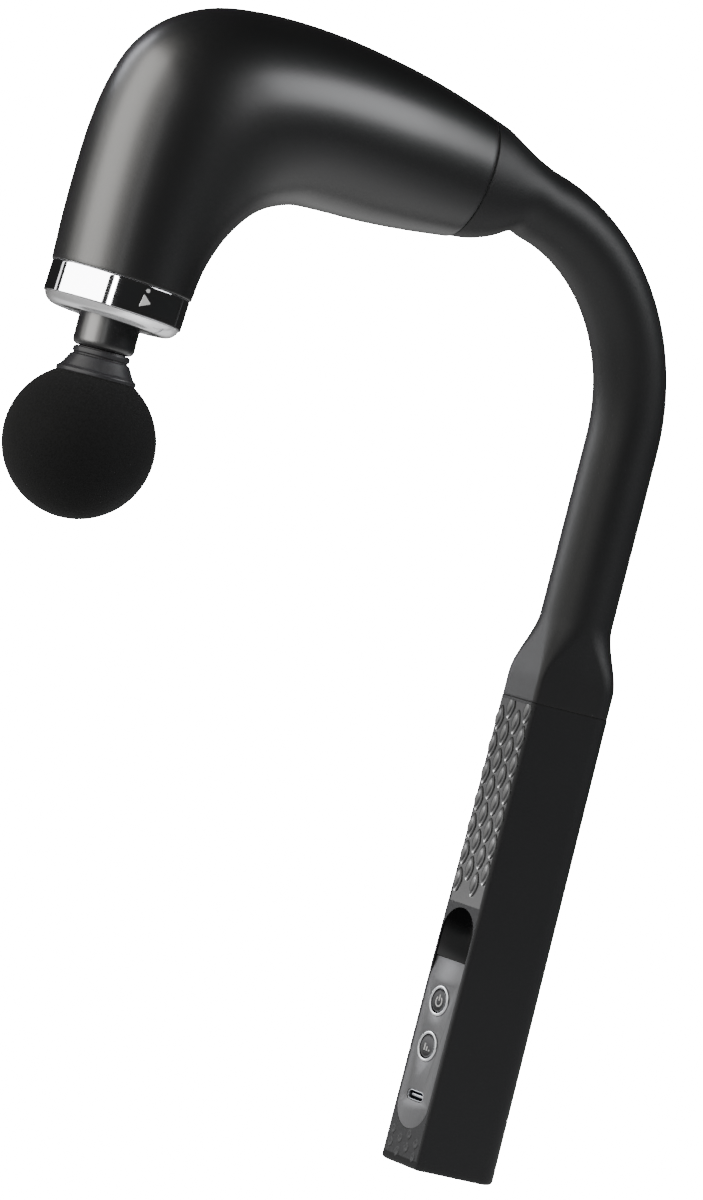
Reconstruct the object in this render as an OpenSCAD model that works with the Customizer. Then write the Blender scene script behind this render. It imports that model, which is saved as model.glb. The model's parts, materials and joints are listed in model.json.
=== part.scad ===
// Long-handled massage gun with a hooked neck and a ball attachment.
// Z runs up the grip from the middle of its end face, the head reaches towards -X.

/* [Grip] */
// Length of the grip up to the neck seam
grip_length = 157; // [156:1:160]
// Half width of the flat front face
face_half_width = 9.8; // [9.4:0.1:10]
// Distance from the grip's axis to the flat front face
face_reach = 15.5; // [15.5:0.1:16]
// Width of the grip at its top as a share of its width at the end
grip_taper = 0.96; // [0.94:0.01:1]
// Wall thickness of the housings
wall = 2.2; // [1.8:0.1:2.4]

/* [Control panel] */
// Width of the control panel and display window
panel_width = 17.2; // [16.4:0.2:17.4]
// Height of the panel's rounded lower end
panel_bottom = 12.2; // [11:0.2:13]
// Height of the straight line between panel and display
display_bottom = 69.2; // [68:0.2:70]
// Height of the display's rounded top
display_top = 86.4; // [86:0.2:87]
// Height of the power button's centre
power_height = 55.1; // [54:0.1:56]
// Height of the mode button's centre
mode_height = 39.8; // [38:0.1:41]
// Outer diameter of the metal ring round each button
ring_diameter = 10.3; // [10:0.1:11]
// Height of the charging socket's centre
port_height = 23.2; // [22:0.2:24]

/* [Neck] */
// Outer radius of the covered neck
neck_radius = 12.1; // [11.6:0.1:12.5]
// Outer radius of the metal tube inside the neck
tube_radius = 9; // [8:0.1:9]
// Radius of the bend along the middle of the neck
bend_radius = 68.5; // [68.5:1:68.5]
// Height at which the bend starts
bend_start = 245.5; // [245.5:1:245.5]
// Angle that the neck turns through
bend_angle = 80; // [80:1:80]

/* [Head] */
// Distance from the grip's axis to the plunger's axis
reach = 203; // [203:1:203]
// Height of the middle of the seam between head and collar
nose_end = 254.1; // [254:0.1:254.2]
// Radius of the nose where it meets the collar
nose_radius = 22.6; // [22.5:0.1:22.7]
// Angle that the collar leans by, lower on the grip's side
nose_tilt = 3.8; // [3.6:0.1:4]
// Height of the collar without its lower ring
collar_height = 9.8; // [9.6:0.1:10]
// Height of the bright lower ring
ring_height = 3.4; // [3.2:0.1:3.4]
// Height of the motor's axis
motor_height = 315.5; // [315:0.5:316]

/* [Drive] */
// Distance of the crank pin from the motor's axis
crank_throw = 5; // [4:0.5:5]
// Radius of the plunger sleeve
plunger_radius = 9.8; // [9:0.1:9.8]
// Height of the plunger's lower end at mid stroke
plunger_bottom = 231.6; // [231.6:0.1:232.6]

/* [Ball attachment] */
// Diameter of the foam ball
ball_diameter = 48; // [46:0.2:50]
// Height of the ball's centre
ball_height = 202.5; // [201:0.5:202.5]
// Radius of the stem that plugs into the plunger
stem_radius = 6; // [5:0.1:6.5]

/* [Hidden] */
$fn = 64;
ring_sides = 36;
run_fit = 0.05;
slide_fit = 0.03;
gap = 0.3;
face_x = -face_reach;
end_cap_height = 3;
tube_start = 143;
insert_start = 141;
pin_height = 149;
tube_bore = 7.5;
head_cable_length = 43.5;
board_front = -11;
board_back = -9.8;
cell_radius = 9.2;
cell_length = 65;
cell_x = 0.5;
cell_start = 4.8;
cable_radius = 1.6;
connector_z = 138.5;
nose_x = -202.6;
collar_radius = 22.2;
low_radius = 21.9;
mark_turn = -8;
mark_drop = 5.1;
seal_z = 243.5;
panel_back = face_x + 1.6;
cap_radius = 3.75;
port_size = [7.2, 8.94, 3.26];
bush_outer = 12;
yoke_x = -reach;
boss_spots = [[10.2, 11], [10.2, -11]];
boss_radius = 2.7;
pad_low = 87.6;
pad_high = 156;
pad_width = 17.2;
pad_depth = 0.7;
bump_pitch = [4.65, 9.1];
bump_height = 0.45;

// Corner circles [x, y, r] of the grip's outline, moved inwards by an inset
function corner_circles(inset) =
  let (front_r = max(2 - inset, 0.8), back_r = 6 - inset, front_y = face_half_width - 0.75 * inset - front_r)
  [
    [face_x + inset + front_r, front_y, front_r], [face_x + inset + front_r, -front_y, front_r],
    [7.4, 9.4, back_r], [7.4, -9.4, back_r]
  ];

function support(c, a) = c[0] * cos(a) + c[1] * sin(a) + c[2];
function outline_point(circles, a) =
  let (best = max([for (c = circles) support(c, a)]))
  let (pick = [for (c = circles) if (support(c, a) > best - 0.0001) c][0])
  [pick[0] + pick[2] * cos(a), pick[1] + pick[2] * sin(a)];

function ring_angles() = [for (i = [0 : ring_sides - 1]) (i + 0.5) * 360 / ring_sides];
function grip_scale(z) = 1.055 * (1 - (1 - grip_taper) * z / grip_length);
function grip_outline(z, inset) =
  let (circles = corner_circles(inset), k = grip_scale(z))
  [for (a = ring_angles()) let (p = outline_point(circles, a)) [face_x + (p[0] - face_x) * k, p[1] * k]];
function grip_ring(z, inset) = [for (p = grip_outline(z, inset)) [p[0], p[1], z]];

// Oval ring through a top point and a bottom point in the plane Y = 0
function oval_ring(s, inset) =
  let (top = s[0], bottom = s[1], middle = (top + bottom) / 2, half = (top - bottom) / 2)
  let (k = 1 - inset / norm(half))
  [for (a = ring_angles()) [
    middle[0] + half[0] * k * cos(a), (s[2] - inset) * sin(a), middle[1] + half[1] * k * cos(a)
  ]];

// Smooth values between stations, each [[x, z] top, [x, z] bottom, half width]
function spline(a, b, c, d, t) =
  0.5 * (2 * b + (c - a) * t + (2 * a - 5 * b + 4 * c - d) * t * t + (3 * b - a - 3 * c + d) * t * t * t);
function between(s, i, t) =
  let (last = len(s) - 1)
  let (a = s[max(i - 1, 0)], b = s[i], c = s[min(i + 1, last)], d = s[min(i + 2, last)])
  [for (k = [0 : 2]) spline(a[k], b[k], c[k], d[k], t)];
function smooth_stations(s, steps) = concat(
  [for (i = [0 : len(s) - 2]) each [for (j = [0 : steps - 1]) between(s, i, j / steps)]],
  [s[len(s) - 1]]);

function quad(a, b, c, d) = [[a, b, c], [a, c, d]];

// Closed wall between an outer and an inner stack of rings
module ring_shell(outer, inner) {
  n = len(outer[0]);
  m = len(outer);
  points = concat([for (r = outer) each r], [for (r = inner) each r]);
  function at(side, i, j) = side * m * n + i * n + j % n;
  outside = [for (i = [0 : m - 2], j = [0 : n - 1])
    each quad(at(0, i, j), at(0, i + 1, j), at(0, i + 1, j + 1), at(0, i, j + 1))];
  inside = [for (i = [0 : m - 2], j = [0 : n - 1])
    each quad(at(1, i, j), at(1, i, j + 1), at(1, i + 1, j + 1), at(1, i + 1, j))];
  first_end = [for (j = [0 : n - 1]) each quad(at(0, 0, j), at(0, 0, j + 1), at(1, 0, j + 1), at(1, 0, j))];
  last_end = [for (j = [0 : n - 1])
    each quad(at(0, m - 1, j), at(1, m - 1, j), at(1, m - 1, j + 1), at(0, m - 1, j + 1))];
  polyhedron(points, concat(outside, inside, first_end, last_end), convexity = 8);
}

// Solid stack of rings
module ring_solid(rings) {
  n = len(rings[0]);
  m = len(rings);
  sides = [for (i = [0 : m - 2], j = [0 : n - 1])
    each quad(i * n + j, (i + 1) * n + j, (i + 1) * n + (j + 1) % n, i * n + (j + 1) % n)];
  bottom = [[for (j = [0 : n - 1]) j]];
  top = [[for (j = [0 : n - 1]) m * n - 1 - j]];
  polyhedron([for (r = rings) each r], concat(sides, bottom, top), convexity = 4);
}

module ring_tube(outer_r, inner_r, length) {
  rotate_extrude() translate([inner_r, 0]) square([outer_r - inner_r, length]);
}

// Turns a shape built along Z so that it runs towards +X from the given x
module along_x(x, y = 0, z = 0) { translate([x, y, z]) rotate([0, 90, 0]) children(); }

module at_motor(x) { along_x(x, 0, motor_height) children(); }

module on_plunger_axis(z) { translate([-reach, 0, z]) children(); }

// Places a shape on the collar's leaning axis, measured from the seam with the head
module on_nose() { translate([nose_x, 0, nose_end]) rotate([0, nose_tilt, 0]) children(); }

// Follows the neck's middle line: straight, bend, then straight for run_out
module neck_run(outer_r, inner_r, z_start, run_out) {
  translate([0, 0, z_start]) ring_tube(outer_r, inner_r, bend_start - z_start);
  translate([-bend_radius, 0, bend_start]) rotate([90, 0, 0]) rotate_extrude(angle = bend_angle)
    translate([bend_radius, 0]) difference() {
      circle(outer_r);
      if (inner_r > 0) circle(inner_r);
    }
  neck_end(0) ring_tube(outer_r, inner_r, run_out);
}

// Places a shape on the neck's middle line, a distance past the end of the bend
module neck_end(distance) {
  translate([-bend_radius, 0, bend_start]) rotate([0, -bend_angle, 0])
    translate([bend_radius, 0, distance]) children();
}

// Upright slot shape in the front face, from x to x + depth
module face_slot(x, depth, width, low, high) {
  r = width / 2;
  translate([x, 0, low + r]) rotate([0, 90, 0]) cylinder(r = r, h = depth);
  translate([x, 0, high - r]) rotate([0, 90, 0]) cylinder(r = r, h = depth);
  translate([x, -r, low + r]) cube([depth, width, high - low - width]);
}

// Flat slot shape across the front face, for the charging socket
module port_slot(x, depth, width, height) {
  r = height / 2;
  for (side = [-1, 1]) along_x(x, side * (width / 2 - r), port_height) cylinder(r = r, h = depth);
  translate([x, r - width / 2, port_height - r]) cube([depth, width - height, height]);
}

// ---- Head -------------------------------------------------------------

function seam_point(side) =
  [nose_x + side * nose_radius * cos(nose_tilt), nose_end - side * nose_radius * sin(nose_tilt)];
head_stations = [
  [[-83.9, 336], [-88.8, 295], 13.5],
  [[-102.5, 340.3], [-105.7, 293.1], 17],
  [[-122.8, 343.7], [-122, 291.9], 20.2],
  [[-147.3, 346.2], [-137.7, 291.5], 22.4],
  [[-171.3, 346.3], [-148.4, 290.9], 23.6],
  [[-192.1, 343.5], [-155.2, 289.1], 24.2],
  [[-207.4, 336.4], [-160.6, 286.7], 24.3],
  [[-216.9, 326.4], [-165.2, 283.5], 24.2],
  [[-221.9, 314], [-169.3, 279.2], 23.9],
  [[-224.3, 300.6], [-173.1, 274], 23.5],
  [[-225.2, 286.8], [-176.3, 267.8], 23.1],
  [[-225.5, 271.4], [-178.7, 260.9], 22.8],
  [seam_point(-1), seam_point(1), nose_radius]
];

module head_shell() {
  stations = smooth_stations(head_stations, 2);
  color("#1b1b1c") ring_shell(
    [for (s = stations) oval_ring(s, 0)],
    [for (s = stations) oval_ring(s, wall)]);
}

// Arrow and dot, 0.5 deep in the collar and raised above it by the given height
module mark_shape(raised) {
  on_nose() rotate([0, 0, mark_turn]) translate([0, -collar_radius - raised, -mark_drop])
    rotate([90, 0, 0]) mirror([0, 0, 1]) linear_extrude(0.5 + raised) {
      polygon([[-1.7, -2.2], [1.9, -0.4], [-1.1, 1.9]]);
      translate([-0.2, 3.2]) circle(0.6);
    }
}

module nose_collar() {
  edge = 0.6;
  lip_radius = 20;
  color("#d8d8da") difference() {
    on_nose() rotate_extrude() polygon([
      [19, -collar_height], [low_radius, -collar_height], [collar_radius, 1.6 - collar_height],
      [collar_radius, -edge], [collar_radius - edge, 0], [lip_radius, 0], [lip_radius, 2.2], [19, 2.2]]);
    mark_shape(0.6);
  }
}

module collar_mark() { color("#f4f4f4") mark_shape(0.02); }

module lower_ring() {
  r = low_radius;
  color("#f0f0f2") on_nose() translate([0, 0, -collar_height - ring_height]) rotate_extrude() polygon([
    [17, 0], [r - 4, 0], [r - 1.8, 0.7], [r - 0.5, 2], [r, ring_height], [17, ring_height]]);
}

module nose_plate() {
  step_z = 0.1 - collar_height;
  color("#202022") difference() {
    on_nose() rotate_extrude() polygon([
      [0, -12.6], [16.9, -12.6], [16.9, step_z], [18.9, step_z], [18.9, -2], [0, -2]]);
    on_plunger_axis(230) cylinder(r = plunger_radius + 2 * gap, h = 30);
    on_plunger_axis(seal_z - 0.1) cylinder(r = 13.2, h = 20);
  }
}

module dust_seal() {
  lip = plunger_radius + gap;
  color("#101010") on_plunger_axis(0) rotate_extrude() polygon([
    [lip, seal_z], [13.1, seal_z], [13.1, seal_z + 3.9], [11.6, seal_z + 3.9], [lip, seal_z + 1.5]]);
}

module nose_bush() {
  color("#b08d57") on_plunger_axis(249) ring_tube(bush_outer, plunger_radius + run_fit, 29);
}

module motor_frame() {
  web_x = -192;
  color("#3a3d42") difference() {
    union() {
      on_plunger_axis(258) cylinder(r = 19.6, h = 4);
      on_plunger_axis(258) cylinder(r = 14.4, h = 19);
      translate([web_x, -13, 258]) cube([3, 26, motor_height - 258]);
      at_motor(web_x) cylinder(r = 18.4, h = 3);
    }
    on_plunger_axis(240) cylinder(r = bush_outer, h = 60);
    at_motor(web_x - 1) cylinder(r = 7.2, h = 5);
    for (a = [45 : 90 : 315])
      at_motor(web_x - 1) rotate([0, 0, a]) translate([12, 0, 0]) cylinder(r = 1.5, h = 5);
  }
}

module damper_pads() {
  color("#151515") for (a = [60, 180, 300])
    on_plunger_axis(262) rotate([0, 0, a]) translate([17, 0, 0]) cylinder(r = 2.2, h = 3);
}

module motor_plate() {
  color("#9a9ca0") difference() {
    union() {
      at_motor(-189) cylinder(r = 16, h = 2);
      at_motor(-191.8) cylinder(r = 6.6, h = 24);
    }
    at_motor(-195) cylinder(r = 5, h = 30);
    for (a = [45 : 90 : 315])
      at_motor(-190) rotate([0, 0, a]) translate([12, 0, 0]) cylinder(r = 1.5, h = 4);
  }
}

module motor_screws() {
  color("#55585c") for (a = [45 : 90 : 315])
    at_motor(-193.4) rotate([0, 0, a]) translate([12, 0, 0]) {
      cylinder(r = 2.6, h = 1.4);
      translate([0, 0, 1.4]) cylinder(r = 1.5, h = 4.6);
    }
}

module motor_stator() {
  teeth = 9;
  color("#6f7378") at_motor(-185) linear_extrude(16) difference() {
    union() {
      circle(8.6);
      intersection() {
        circle(14);
        for (i = [0 : teeth - 1]) rotate(i * 360 / teeth) {
          translate([0, -1.2]) square([20, 2.4]);
          translate([12.6, -3.9]) square([3, 7.8]);
        }
      }
    }
    circle(6.6);
  }
}

module motor_windings() {
  color("#b5651d") for (x = [-187, -168.6]) at_motor(x) ring_tube(12.4, 8.8, 1.6);
}

module motor_bearings() {
  color("#c8cacc") for (x = [-191.4, -172.2]) at_motor(x) ring_tube(5, 2 + slide_fit, 4);
}

module rotor_bell() {
  color("#2c2e31") at_motor(0) rotate_extrude() polygon([
    [2, -166.4], [4.5, -166.4], [4.5, -165], [16.2, -165], [16.2, -186],
    [17.6, -186], [17.6, -163], [2, -163]]);
}

module rotor_magnets() { color("#8a8d91") at_motor(-184.5) ring_tube(16.2, 14.6, 15); }

module motor_shaft() { color("#d0d2d4") at_motor(-198.9) cylinder(r = 2, h = 37); }

module crank_disc() {
  color("#7d8187") at_motor(-198.9) linear_extrude(4.2) difference() {
    union() {
      circle(9);
      intersection() {
        circle(13.8);
        translate([-20, -20]) square([40, 17]);
      }
    }
    circle(2);
    translate([0, crank_throw]) circle(1.5);
  }
}

module crank_pin() {
  color("#d8dadc") along_x(-207.6, crank_throw, motor_height) cylinder(r = 1.5, h = 12.9);
}

module crank_roller() {
  color("#b8babd") along_x(-206.2, crank_throw, motor_height) ring_tube(3, 1.5 + slide_fit, 6.2);
}

module crank_clip() {
  color("#4a4a4a") along_x(-207.2, crank_throw, motor_height) ring_tube(2.5, 1.5, 0.7);
}

module yoke() {
  half_slot = 3 + 0.46;
  half_height = 6.2;
  half_width = 11.2;
  reach_y = crank_throw + 3.6;
  color("#8f949a") difference() {
    union() {
      translate([yoke_x - 3, -half_width, motor_height - half_height])
        cube([6, 2 * half_width, 2 * half_height]);
      translate([yoke_x - 3, -5, 285]) cube([6, 10, motor_height - half_height - 285]);
      on_plunger_axis(285) cylinder(r = 7, h = 4);
    }
    translate([yoke_x - 5, -reach_y, motor_height - half_slot]) cube([10, 2 * reach_y, 2 * half_slot]);
    on_plunger_axis(280) cylinder(r = 1.6, h = 22);
  }
}

module plunger() {
  edge = 2;
  color("#141416") on_plunger_axis(0) rotate_extrude() polygon([
    [stem_radius + slide_fit, plunger_bottom], [plunger_radius - edge, plunger_bottom],
    [plunger_radius, plunger_bottom + edge], [plunger_radius, 285], [1.6, 285], [1.6, 270],
    [3, 270], [3, 262], [stem_radius + slide_fit, 262]]);
}

module yoke_screw() {
  color("#5a5d61") on_plunger_axis(0) {
    translate([0, 0, 266.6]) cylinder(r = 2.7, h = 3.4);
    translate([0, 0, 270]) cylinder(r = 1.6, h = 26);
  }
}

module driver_board() {
  color("#1f5f3a") {
    translate([-155, -12, 314.9]) cube([55, 24, 1.6]);
    translate([-105, -5, 316.5]) cube([5.4, 10, 6]);
  }
  color("#303236") {
    for (x = [-144, -134]) for (y = [-6, 6]) translate([x, y, 316.5]) cylinder(r = 4, h = 9);
    translate([-124, -5, 316.5]) cube([10, 10, 1.8]);
  }
}

// ---- Neck -------------------------------------------------------------

seam_length = 30.2;

module neck_socket() {
  color("#3a3d42") difference() {
    union() {
      neck_end(seam_length + 1) cylinder(r = 11, h = 10.5);
      neck_end(seam_length + 4.5) for (lug = [[9.9, 5.5], [-22.2, 12.3]])
        translate([lug[0], -2.5, 0]) cube([lug[1], 5, 5]);
    }
    neck_end(seam_length - 2) cylinder(r = tube_radius, h = 20);
    neck_end(seam_length + 7) for (side = [0, 180]) rotate([0, 90, side]) cylinder(r = 1.25, h = 30);
  }
}

module socket_screws() {
  color("#55585c") neck_end(seam_length + 7) for (side = [0, 180])
    rotate([0, 90, side]) translate([0, 0, 9.2]) cylinder(r = 1.2, h = 2);
}

module neck_tube() {
  color("#b4b6b9") difference() {
    neck_run(tube_radius, tube_bore, tube_start, seam_length + 9.5);
    translate([0, 0, pin_height]) rotate([90, 0, 0]) cylinder(r = 1.6, h = 20, center = true);
  }
}

function bend_point(a, r) =
  [(bend_radius + r) * cos(a) - bend_radius, (bend_radius + r) * sin(a) + bend_start];
function round_station(a) = [bend_point(a, neck_radius), bend_point(a, -neck_radius), neck_radius];
flange_stations = [
  [[-62.5, 327.5], [-65.6, 302.4], 12.2],
  [[-69.3, 330.6], [-73.8, 298.5], 12.7],
  [[-76.3, 333.8], [-81, 296.3], 13.2],
  [[-83.6, 335.8], [-88.4, 295.4], 13.4]
];

// Share of the round neck in the outline between the grip seam and the plain tube
function flare_share(z) =
  let (t = min(max((z - grip_length - 7.5) / 22, 0), 1)) t * t * (3 - 2 * t);
function flare_ring(z) =
  let (s = flare_share(z), grip = grip_outline(grip_length, 0.15), angles = ring_angles())
  [for (i = [0 : ring_sides - 1]) [
    grip[i][0] * (1 - s) + neck_radius * cos(angles[i]) * s,
    grip[i][1] * (1 - s) + neck_radius * sin(angles[i]) * s, z
  ]];
function round_ring(z, r) = [for (a = ring_angles()) [r * cos(a), r * sin(a), z]];

module neck_cover() {
  rises = [0, 3, 7.5, 10.5, 13.5, 16.5, 19.5, 22.5, 26, 29.5];
  flare_z = [for (rise = rises) grip_length + rise];
  bore = tube_radius + gap;
  bend = [for (a = [0 : 8 : bend_angle]) round_station(a)];
  stations = concat(bend, flange_stations);
  color("#222325") ring_shell(
    concat([for (z = flare_z) flare_ring(z)], [for (s = stations) oval_ring(s, 0)]),
    concat([for (z = flare_z) round_ring(z, bore)],
      [for (s = bend) bore_ring(s, (s[0] + s[1]) / 2, bore)],
      [for (s = flange_stations) bore_ring(s, tube_crossing(s), bore)]));
}

// Round ring about a middle point in the plane of a station
function station_line(s) = (s[0] - s[1]) / norm(s[0] - s[1]);
function bore_ring(s, middle, r) =
  let (along = station_line(s))
  [for (a = ring_angles()) [
    middle[0] + r * along[0] * cos(a), r * sin(a), middle[1] + r * along[1] * cos(a)
  ]];

// Point where the tube's middle line past the bend crosses a station
function tube_crossing(s) =
  let (along = station_line(s), across = [cos(bend_angle), sin(bend_angle)], middle = (s[0] + s[1]) / 2)
  middle - along * ((middle - bend_point(bend_angle, 0)) * across) / (along * across);

// Two short dowels, clear of the cable in the middle of the tube
module neck_pin() {
  color("#c0c2c4") for (side = [-1, 1])
    translate([0, side * 8.6, pin_height]) rotate([90, 0, 0]) cylinder(r = 1.5, h = 2.8, center = true);
}

module grip_insert() {
  color("#3a3d42") difference() {
    ring_solid([for (z = [insert_start, grip_length]) grip_ring(z, wall + 0.05)]);
    translate([0, 0, 130]) cylinder(r = tube_radius, h = 40);
    translate([0, 0, pin_height]) rotate([90, 0, 0]) cylinder(r = 1.5, h = 20.2, center = true);
  }
}

module wiring_harness() {
  turn = 4;
  color("#a02020") {
    neck_run(cable_radius, 0, connector_z + turn, head_cable_length);
    translate([-turn, 0, connector_z + turn]) rotate([90, 0, 0])
      rotate_extrude(angle = -90) translate([turn, 0]) circle(cable_radius);
  }
}

// ---- Grip -------------------------------------------------------------

module grip_barrel() {
  color("#232426") difference() {
    union() {
      ring_shell(
        [for (z = [end_cap_height, grip_length]) grip_ring(z, 0)],
        [for (z = [end_cap_height, grip_length]) grip_ring(z, wall)]);
      for (p = boss_spots) translate([p[0], p[1], end_cap_height]) cylinder(r = boss_radius, h = 9);
    }
    face_slot(face_x - 1, wall + 2, panel_width, panel_bottom, display_top);
    translate([face_x - 1, -pad_width / 2, pad_low]) cube([1 + pad_depth, pad_width, pad_high - pad_low]);
    for (p = boss_spots) translate([p[0], p[1], end_cap_height - 1]) cylinder(r = 1.1, h = 9);
  }
}

module texture_pad() {
  half = [3.9, 1.75];
  columns = 4;
  rows = 14;
  color("#2b2c2f") {
    translate([face_x, -pad_width / 2, pad_low]) cube([pad_depth, pad_width, pad_high - pad_low]);
    intersection() {
      translate([face_x - 1, -pad_width / 2, pad_low]) cube([2, pad_width, pad_high - pad_low]);
      for (column = [0 : columns - 1], row = [column % 2 : 2 : rows - 1])
        translate([
          face_x, ((columns - 1) / 2 - column) * bump_pitch[0], pad_low + 7.1 + row * bump_pitch[1] / 2
        ])
          rotate([0, -90, 0]) linear_extrude(bump_height)
            polygon([[-half[0], 0], [0, -half[1]], [half[0], 0], [0, half[1]]]);
    }
  }
}

module control_panel() {
  color("#6d6e72") difference() {
    face_slot(face_x, panel_back - face_x, panel_width, panel_bottom, display_top);
    translate([face_x - 1, -10, display_bottom - 0.2]) cube([5, 20, 30]);
    for (z = [power_height, mode_height]) along_x(face_x - 1, 0, z) cylinder(d = ring_diameter, h = 5);
    port_slot(face_x - 1, 5, port_size[1] + 0.2, port_size[2] + 0.2);
  }
}

module display_lens() {
  color("#0a0a0c") intersection() {
    face_slot(face_x + 0.1, panel_back - face_x, panel_width, panel_bottom, display_top);
    translate([face_x - 1, -10, display_bottom]) cube([5, 20, 30]);
  }
}

module display_module() {
  color("#e8e8e8") translate([-13.7, -5, 70.5]) cube([2.7, 10, 11.5]);
}

module button_rings() {
  inner = cap_radius + gap;
  outer = ring_diameter / 2;
  color("#cfd1d4") for (z = [power_height, mode_height]) along_x(0, 0, z) rotate_extrude() polygon([
    [inner, panel_back], [outer, panel_back], [outer, face_x - 0.2], [outer - 0.3, face_x - 0.5],
    [inner + 0.2, face_x - 0.5], [inner, face_x - 0.3]]);
}

// Round cap with a flange behind the panel; the symbol is sunk in its face
module button_cap(z) {
  along_x(0, 0, z) rotate_extrude() polygon([
    [0, face_x - 0.3], [cap_radius - 0.4, face_x - 0.3], [cap_radius, face_x + 0.1],
    [cap_radius, panel_back + gap], [4.7, panel_back + gap], [4.7, panel_back + 1.1], [0, panel_back + 1.1]]);
}

module power_button() {
  color("#2a2b2e") difference() {
    button_cap(power_height);
    along_x(face_x - 1, 0, power_height) ring_tube(1.9, 1.4, 0.9);
  }
}

module mode_button() {
  color("#2a2b2e") difference() {
    button_cap(mode_height);
    translate([face_x - 1, -1.7, mode_height - 0.3]) cube([0.9, 3.4, 0.6]);
  }
}

module tact_switches() {
  color("#d9d9d9") for (z = [power_height, mode_height]) {
    translate([board_front - 0.8, -2.6, z - 2.6]) cube([0.8, 5.2, 5.2]);
  }
}

module control_board() {
  color("#1f5f3a") difference() {
    union() {
      translate([board_front, -6.8, 14]) cube([board_back - board_front, 13.6, 127]);
      translate([board_back, -4, 136]) cube([-4 - board_back, 8, 5]);
    }
    port_slot(board_front - 1, 5, port_size[1], port_size[2]);
  }
}

module charging_port() {
  shell = 0.3;
  color("#c4c6c9") {
    difference() {
      port_slot(face_x + 0.2, port_size[0] - 0.6, port_size[1], port_size[2]);
      port_slot(face_x - 1, port_size[0] - 0.2, port_size[1] - 2 * shell, port_size[2] - 2 * shell);
    }
    translate([face_x + 1, -3.35, port_height - 0.35]) cube([port_size[0] - 1.6, 6.7, 0.7]);
  }
}

module battery_cells() {
  color("#2f6fb5") for (i = [0, 1])
    translate([cell_x, 0, cell_start + i * (cell_length + 0.6)]) cylinder(r = cell_radius, h = cell_length);
}

module cell_holder() {
  pack = 2 * cell_length + 0.6;
  color("#d6d6d6") for (side = [-1, 1])
    translate([0.5, side * 9.8 - 0.5, cell_start]) cube([6.7, 1, pack]);
}

module cell_links() {
  color("#e6e6e6") {
    translate([cell_x, 0, cell_start - 0.3]) cylinder(r = 3.5, h = 0.3);
    translate([cell_x, 0, cell_start + cell_length]) cylinder(r = 3.5, h = 0.6);
    translate([cell_x, 0, cell_start + 2 * cell_length + 0.6]) cylinder(r = 3.5, h = 0.3);
  }
}

module end_cap() {
  color("#232426") difference() {
    union() {
      ring_solid([
        [for (p = grip_outline(0, 1.1)) [p[0], p[1], 0]], [for (p = grip_outline(0, 0.35)) [p[0], p[1], 0.5]],
        [for (p = grip_outline(0, 0)) [p[0], p[1], 1.4]], grip_ring(end_cap_height, 0)]);
      translate([cell_x, 0, 2]) cylinder(r = 8, h = 2.4);
    }
    for (p = boss_spots) translate([p[0], p[1], -1]) {
      cylinder(r = 1.3, h = 6);
      cylinder(r = 2.3, h = 2.4);
    }
  }
}

module end_cap_screws() {
  color("#4a4c50") for (p = boss_spots) translate([p[0], p[1], 0.2]) {
    cylinder(r = 2.2, h = 1.2);
    translate([0, 0, 1.2]) cylinder(r = 1.1, h = 8);
  }
}

// ---- Ball attachment --------------------------------------------------

module attachment_stem() {
  top = plunger_bottom - 0.1;
  lip_z = ball_height + 21;
  color("#4a4b4e") on_plunger_axis(0) difference() {
    rotate_extrude() polygon([
      [0, ball_height - 4], [5, ball_height - 4], [5, lip_z - 4], [10, lip_z - 1.6], [12.2, lip_z - 0.9],
      [12.85, lip_z - 0.5], [12.85, lip_z + 0.5], [12.2, lip_z + 0.9], [10.6, top - 4.6], [9.2, top - 3.4],
      [9.2, top - 2.6], [9.6, top - 2.2], [9.6, top - 0.4], [9.2, top], [stem_radius, top],
      [stem_radius, 256], [stem_radius - 0.8, 257], [0, 257]]);
    for (z = [240, 250]) translate([0, 0, z]) ring_tube(stem_radius + 1, stem_radius - 1.2, 1.8);
  }
}

module stem_o_rings() {
  color("#8c2f2f") for (z = [240.9, 250.9]) on_plunger_axis(z)
    rotate_extrude() translate([stem_radius - 0.5, 0]) circle(0.5);
}

module ball_core() {
  color("#5a5c60") on_plunger_axis(ball_height) difference() {
    sphere(r = 13);
    translate([0, 0, -4]) cylinder(r = 5, h = 20);
  }
}

module ball_foam() {
  lip_z = ball_height + 21;
  color("#1f1f20") on_plunger_axis(0) difference() {
    translate([0, 0, ball_height]) sphere(d = ball_diameter);
    translate([0, 0, ball_height]) sphere(r = 13);
    rotate_extrude() polygon([
      [0, ball_height], [5, ball_height], [5, lip_z - 4], [10, lip_z - 1.6], [12.2, lip_z - 0.9],
      [12.85, lip_z - 0.5], [12.85, lip_z + 0.5], [12.2, lip_z + 0.9], [12.2, lip_z + 10], [0, lip_z + 10]]);
  }
}

// ---- Assembly ----------------------------------------------------------

head_shell();
nose_collar();
lower_ring();
collar_mark();
nose_plate();
dust_seal();
nose_bush();
motor_frame();
damper_pads();
motor_plate();
motor_screws();
motor_stator();
motor_windings();
motor_bearings();
rotor_bell();
rotor_magnets();
motor_shaft();
crank_disc();
crank_pin();
crank_roller();
crank_clip();
yoke();
plunger();
yoke_screw();
driver_board();
neck_socket();
socket_screws();
neck_tube();
neck_cover();
neck_pin();
grip_insert();
wiring_harness();
grip_barrel();
texture_pad();
control_panel();
display_lens();
display_module();
button_rings();
power_button();
mode_button();
tact_switches();
control_board();
charging_port();
battery_cells();
cell_holder();
cell_links();
end_cap();
end_cap_screws();
attachment_stem();
stem_o_rings();
ball_core();
ball_foam();
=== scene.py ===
import json
import math

import bmesh
import bpy
from mathutils import Matrix, Vector


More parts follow.
